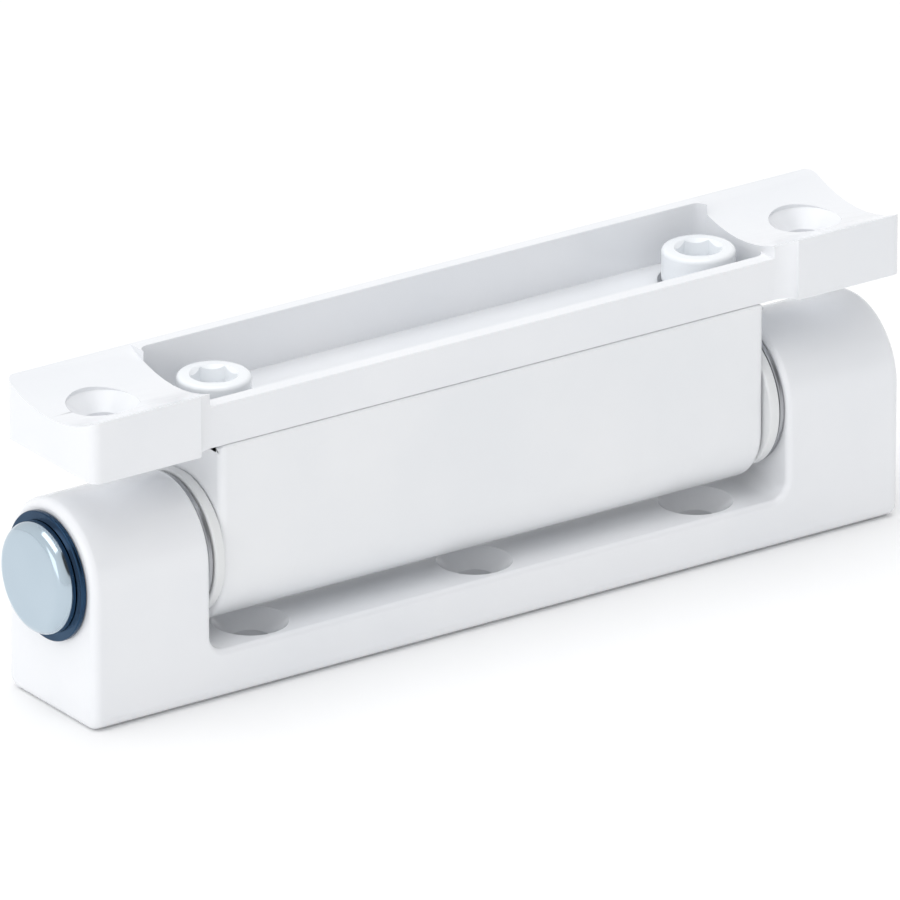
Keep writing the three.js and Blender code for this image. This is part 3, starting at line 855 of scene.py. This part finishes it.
make_yoke()
make_pin()
make_ring("head_washer_blank", "pin_head_washer", "fixed", "blued_zinc", BLUED, PIN_R + RUN)
make_ring("snap_ring", "retaining_ring", "fixed", "spring_steel", STEEL, GROOVE_R + RUN)
make_plug()
make_lock_screw()
make_knuckle()
make_leaf()
for side, sign in ENDS:
    make_ring(
        side + "_sleeve_moulding", side + "_cheek_sleeve", "fixed", "white_nylon", NYLON,
        PIN_R + RUN, 2 * WASHER_EDGE)
    make_ring(
        side + "_thrust_blank", side + "_thrust_washer", "fixed", "spring_steel", STEEL,
        PIN_R + RUN)
    make_bush(side, sign)
    make_clamp_screw(side)
    make_clamp_washer(side)
    make_dowel(side)


# --- Studio ---------------------------------------------------------------------------------

CAMERA_AZIMUTH = -34.9
CAMERA_ELEVATION = 22.4
CAMERA_DISTANCE = 2.4
CAMERA_LENS = 724.8
CAMERA_RIGHT = -1.1 * MM
CAMERA_UP = 2.1 * MM
CAMERA_NEAR, CAMERA_FAR = 0.1, 20

SURROUND_COLOR = (0.985, 0.99, 1.0, 1)
SURROUND_LEFT = 1.03
SURROUND_RIGHT = 0.76
DARK_SIDE = Vector((0.55, -0.62, 0.5))
DARK_EDGE = 0.9
DARK_CORE = 0.955
DARK_STRENGTH = 0.08

FLOOR_HALF = 3.0
FLOOR_COLOR = (0.97, 0.97, 0.97, 1)
FLOOR_ROUGHNESS = 0.7
ABOVE_PLACE, ABOVE_SIZE, ABOVE_POWER = (-0.1, 0.0, 0.9), 0.8, 2.8
LEFT_PLACE, LEFT_SIZE, LEFT_POWER = (-0.9, -0.05, 0.25), 0.5, 0.6


def studio_floor():
    """A wide plain pale floor."""
    half = FLOOR_HALF
    corners = [(-half, -half, 0), (half, -half, 0), (half, half, 0), (-half, half, 0)]
    floor = new_object("floor", corners, [[0, 1, 2, 3]])
    material = bpy.data.materials.new("floor_white")
    material.use_nodes = True
    principled = material.node_tree.nodes["Principled BSDF"]
    principled.inputs["Base Color"].default_value = FLOOR_COLOR
    principled.inputs["Roughness"].default_value = FLOOR_ROUGHNESS
    floor.data.materials.append(material)


def soft_light(name, place, aim, size, power):
    """A square soft box at place, facing aim."""
    lamp = bpy.data.lights.new(name, "AREA")
    lamp.shape = "SQUARE"
    lamp.size = size
    lamp.energy = power
    holder = bpy.data.objects.new(name, lamp)
    holder.location = place
    holder.rotation_mode = "QUATERNION"
    holder.rotation_quaternion = (Vector(aim) - Vector(place)).to_track_quat("-Z", "Y")
    bpy.context.scene.collection.objects.link(holder)


def surround():
    """An even pale surround, brighter at the left, with one soft dark patch at the front right.

    The strength falls evenly with X. The patch is where the direction's dot product with
    DARK_SIDE is near one, and it gives the plated metal something dark to mirror.
    """
    world = bpy.data.worlds.new("surround")
    world.use_nodes = True
    tree = world.node_tree
    link = tree.links.new
    background = tree.nodes["Background"]
    background.inputs["Color"].default_value = SURROUND_COLOR
    place = node(tree, "ShaderNodeTexCoord")
    split = node(tree, "ShaderNodeSeparateXYZ")
    fall = node(tree, "ShaderNodeMapRange")
    fall.inputs["From Min"].default_value = -1.0
    fall.inputs["To Min"].default_value = SURROUND_LEFT
    fall.inputs["To Max"].default_value = SURROUND_RIGHT
    near = node(tree, "ShaderNodeVectorMath", operation="DOT_PRODUCT")
    near.inputs[1].default_value = DARK_SIDE.normalized()
    patch = node(tree, "ShaderNodeMapRange", interpolation_type="SMOOTHSTEP")
    patch.inputs["From Min"].default_value = DARK_EDGE
    patch.inputs["From Max"].default_value = DARK_CORE
    patch.inputs["To Min"].default_value = 1.0
    patch.inputs["To Max"].default_value = DARK_STRENGTH
    product = node(tree, "ShaderNodeMath", operation="MULTIPLY")
    link(place.outputs["Generated"], split.inputs["Vector"])
    link(place.outputs["Generated"], near.inputs[0])
    link(split.outputs["X"], fall.inputs["Value"])
    link(near.outputs["Value"], patch.inputs["Value"])
    link(fall.outputs["Result"], product.inputs[0])
    link(patch.outputs["Result"], product.inputs[1])
    link(product.outputs["Value"], background.inputs["Strength"])
    bpy.context.scene.world = world


def studio():
    """Plain soft light: the surround, a broad lamp above and a weaker one at the left."""
    surround()
    middle = (0, 0, AXIS_Z)
    soft_light("above", ABOVE_PLACE, middle, ABOVE_SIZE, ABOVE_POWER)
    soft_light("left", LEFT_PLACE, middle, LEFT_SIZE, LEFT_POWER)


def studio_camera():
    """A long lens at the left and above: its back vector follows azimuth and elevation."""
    azimuth, elevation = math.radians(CAMERA_AZIMUTH), math.radians(CAMERA_ELEVATION)
    back = Vector((
        math.sin(azimuth) * math.cos(elevation),
        -math.cos(azimuth) * math.cos(elevation),
        math.sin(elevation)))
    right = Vector((math.cos(azimuth), math.sin(azimuth), 0))
    up = back.cross(right)
    aim = Vector((MIDDLE_X, 0, AXIS_Z)) + right * CAMERA_RIGHT + up * CAMERA_UP
    data = bpy.data.cameras.new("camera")
    data.lens = CAMERA_LENS
    data.clip_start, data.clip_end = CAMERA_NEAR, CAMERA_FAR
    camera = bpy.data.objects.new("camera", data)
    camera.location = aim + back * CAMERA_DISTANCE
    camera.rotation_mode = "QUATERNION"
    camera.rotation_quaternion = (-back).to_track_quat("-Z", "Y")
    bpy.context.scene.collection.objects.link(camera)
    bpy.context.scene.camera = camera


studio_floor()
studio()
studio_camera()
bpy.context.scene.view_settings.view_transform = "Standard"
